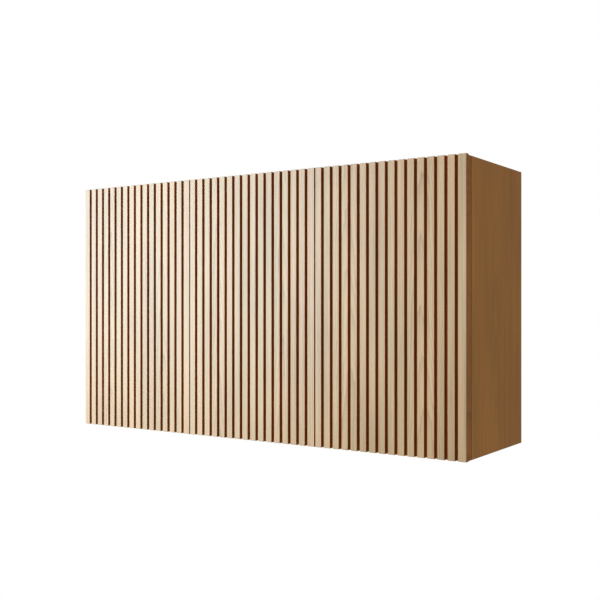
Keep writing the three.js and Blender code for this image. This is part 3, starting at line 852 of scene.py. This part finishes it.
def strike_plate(door):
    """The steel plate that the magnet holds, with its two screws."""
    mesh = bmesh.new()
    x = latch_x(door)
    outline = rounded((LATCH_HEIGHT - STRIKE_HALF_HEIGHT, x - STRIKE_HALF_WIDTH),
                      (LATCH_HEIGHT + STRIKE_HALF_HEIGHT, x + STRIKE_HALF_WIDTH), 2)
    holes = [circle(LATCH_HEIGHT, x + side, STRIKE_HOLE) for side in STRIKE_HOLES]
    plate(mesh, outline, holes, "y", DOOR_BACK, DOOR_BACK + THIN_SHEET)
    for side in STRIKE_HOLES:
        accented(mesh, screw, (x + side, DOOR_BACK + 0.25, LATCH_HEIGHT), "y", 1, STRIKE_HOLE)
    settle(mesh)
    node = f"{door}_door_strike_plate"
    piece(node + "_stamped", mesh, [zinc, bright_zinc], f"{door}_door", [node], 0.15 * MM)


# ---- shelf pins and hanging gear ----

def shelf_pin(node):
    """A turned peg with a collar that stops it in the panel."""
    low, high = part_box(node)
    centre = (low + high) / 2
    out = 1 if node.endswith("_left") else -1
    start = low.x if out > 0 else high.x
    peg, collar, end = PEG_RADIUS, COLLAR_RADIUS, PEG_LENGTH
    near, far = COLLAR_ENDS
    profile = [
        (0, 0), (0, peg - 0.4), (0.5, peg), (near, peg), (near, collar - 0.2), (near + 0.2, collar),
        (far - 0.2, collar), (far, collar - 0.2), (far, peg), (end - 0.5, peg), (end, peg - 0.5), (end, 0),
    ]
    mesh = bmesh.new()
    turned(mesh, (start, centre.y, centre.z), "x", [(out * a * MM, r * MM) for a, r in profile], 32)
    piece(node + "_turned", mesh, [nickel], "carcass", [node])


def hanger(side):
    """A hanger: moulded housing, its two adjusting and two fixing screws, and the steel hook."""
    mesh = bmesh.new()
    left, right = HANGER_X
    front, rear = HANGER_Y
    low, high = HANGER_Z
    middle = (left + right) / 2
    outline = [
        (front + 5, low), (rear - 2, low), (rear, low + 2), (rear, high - 1), (rear - 1, high),
        (front + 2, high), (front, high - 2), (front, low + 5), (front + 1.5, low + 1.5),
    ]
    prism(mesh, outline, "x", left, right)
    for height in (560, 573):
        accented(mesh, screw, (middle, front + 0.9, height), "y", -1, ADJUSTING_SCREW)
    for depth, height in ((233, 545), (262, 575)):
        accented(mesh, screw, (right - 1, depth, height), "x", 1, FIXING_SCREW)
    under = HOOK_TOP - HOOK_SHEET
    hook = [
        (270, under), (293.9, under), (294.6, under - 0.7), (295.3, HOOK_DROP), (298, HOOK_DROP),
        (298, HOOK_TOP - 1), (297, HOOK_TOP), (270, HOOK_TOP),
    ]
    accented(mesh, prism, hook, "x", middle - HOOK_HALF, middle + HOOK_HALF)
    if side == "left":
        settle(mesh)
    else:
        settle(mesh, 2 * ORIGIN[0], turn=-1)
    node = f"{side}_hanger"
    piece(node + "_moulded", mesh, [grey_plastic, zinc], "carcass", [node], 0.3 * MM)


# ---- the cabinet's parts ----

def carcass():
    keep("left_side_panel", warm_oak)
    keep("right_side_panel", warm_oak)
    keep("top_panel", warm_oak_flat)
    keep("bottom_panel", warm_oak_flat)
    keep("back_panel", inside_oak_tall)
    keep("partition", inside_oak_deep)
    keep("left_shelf", inside_oak_flat)
    keep("right_shelf", inside_oak_flat)
    for node in sorted(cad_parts):
        if "shelf_pin" in node:
            shelf_pin(node)


def doors():
    for door in DOORS:
        slatted_front(door)
        keep(f"{door}_door_base", warm_oak_door)
        strike_plate(door)
        latch_housing(door)
        latch_plunger(door)
        for place in PLACES:
            hinge_cup(door, place)
            hinge_link(door, place)
            hinge_arm(door, place)
            hinge_plate(door, place)


def hanging_gear():
    keep("wall_rail", zinc, 0.3 * MM)
    for side in ("left", "right"):
        hanger(side)


# ---- scene ----

FLOOR_DROP = 1.40
FLOOR_RADIUS = 2.8
FLOOR_FADE = (1.0, 2.6)
CAMERA_PLACE = (1.2495, -1.9623, -0.2249)
CAMERA_AZIMUTH = 33.777
CAMERA_LENS = 55.29
HORIZON_SHIFT = 0.0059
ROOM_LIGHT = 0.3
WHITE = (1.0, 1.0, 1.0, 1.0)

# name, place, target, width, height, watts and colour
AREA_LIGHTS = (
    ("softbox_left", (-1.8, -1.9, 0.22), (-0.3, -0.3, -0.2), 2.1, 1.6, 47, (0.87, 0.95, 1.0)),
    ("low_left", (-1.7, -2.0, -0.85), (-0.3, -0.3, -0.45), 1.3, 0.6, 9, (1.0, 0.92, 0.78)),
    ("front_fill", (0.8, -2.2, -0.1), (0.3, -0.3, -0.2), 1.0, 0.8, 8, (1.0, 0.93, 0.82)),
    ("overhead", (0.0, 0.1, 2.4), (0.0, -0.1, 0.0), 1.6, 1.2, 16, (1.0, 0.98, 0.95)),
    ("side_fill", (2.3, -0.85, -0.5), (0.5, -0.2, -0.3), 1.2, 1.2, 7.2, (1.0, 0.96, 0.90)),
)


def floor_finish():
    """A speckled pale grey that turns clear towards the floor's rim."""
    graph = Graph("studio_floor")
    place = graph.place()
    squares = graph.plus(graph.times(place["x"], place["x"]), graph.times(place["y"], place["y"]))
    speckle = graph.noise(graph.vector(place["x"], place["y"], 0.0), 30.0, 3.0)
    grey = graph.ramp(speckle, [(0.3, (0.78, 0.77, 0.755)), (0.7, (0.84, 0.83, 0.815))])
    graph.put(graph.shader.inputs["Base Color"], grey)
    graph.shader.inputs["Roughness"].default_value = 0.7
    clear = graph.add("ShaderNodeBsdfTransparent")
    blend = graph.add("ShaderNodeMixShader")
    graph.put(blend.inputs[0], graph.levels(graph.math("SQRT", squares), *FLOOR_FADE))
    graph.put(blend.inputs[1], graph.shader.outputs[0])
    graph.put(blend.inputs[2], clear.outputs[0])
    graph.put(graph.output.inputs["Surface"], blend.outputs[0])
    return graph.material


def floor():
    """A pale floor well under the cabinet, which fades into the backdrop's white."""
    mesh = bmesh.new()
    bmesh.ops.create_circle(mesh, cap_ends=True, radius=FLOOR_RADIUS, segments=96)
    data = bpy.data.meshes.new("studio_floor")
    mesh.to_mesh(data)
    mesh.free()
    data.materials.append(floor_finish())
    made = bpy.data.objects.new("studio_floor", data)
    made.location = (0.0, 0.0, cad_box[0].z - FLOOR_DROP)
    bpy.context.scene.collection.objects.link(made)


def area_light(name, place, target, width, height, power, colour):
    data = bpy.data.lights.new(name, "AREA")
    data.shape = "RECTANGLE"
    data.size = width
    data.size_y = height
    data.energy = power
    data.color = colour
    made = bpy.data.objects.new(name, data)
    made.location = place
    made.rotation_euler = (Vector(target) - Vector(place)).to_track_quat("-Z", "Y").to_euler()
    bpy.context.scene.collection.objects.link(made)


def room():
    """A dim white room, which the camera sees as plain white."""
    world = bpy.data.worlds.new("studio")
    bpy.context.scene.world = world
    world.use_nodes = True
    tree = world.node_tree
    walls = tree.nodes["Background"]
    walls.inputs["Color"].default_value = WHITE
    walls.inputs["Strength"].default_value = ROOM_LIGHT
    backdrop = tree.nodes.new("ShaderNodeBackground")
    backdrop.inputs["Color"].default_value = WHITE
    rays = tree.nodes.new("ShaderNodeLightPath")
    blend = tree.nodes.new("ShaderNodeMixShader")
    tree.links.new(rays.outputs["Is Camera Ray"], blend.inputs[0])
    tree.links.new(walls.outputs[0], blend.inputs[1])
    tree.links.new(backdrop.outputs[0], blend.inputs[2])
    tree.links.new(blend.outputs[0], tree.nodes["World Output"].inputs[0])


def camera():
    data = bpy.data.cameras.new("camera")
    data.lens = CAMERA_LENS
    data.shift_y = HORIZON_SHIFT
    made = bpy.data.objects.new("camera", data)
    made.location = CAMERA_PLACE
    made.rotation_euler = (math.radians(90), 0.0, math.radians(CAMERA_AZIMUTH))
    bpy.context.scene.collection.objects.link(made)
    bpy.context.scene.camera = made
    bpy.context.scene.view_settings.view_transform = "Standard"


carcass()
doors()
hanging_gear()
floor()
for light in AREA_LIGHTS:
    area_light(*light)
room()
camera()
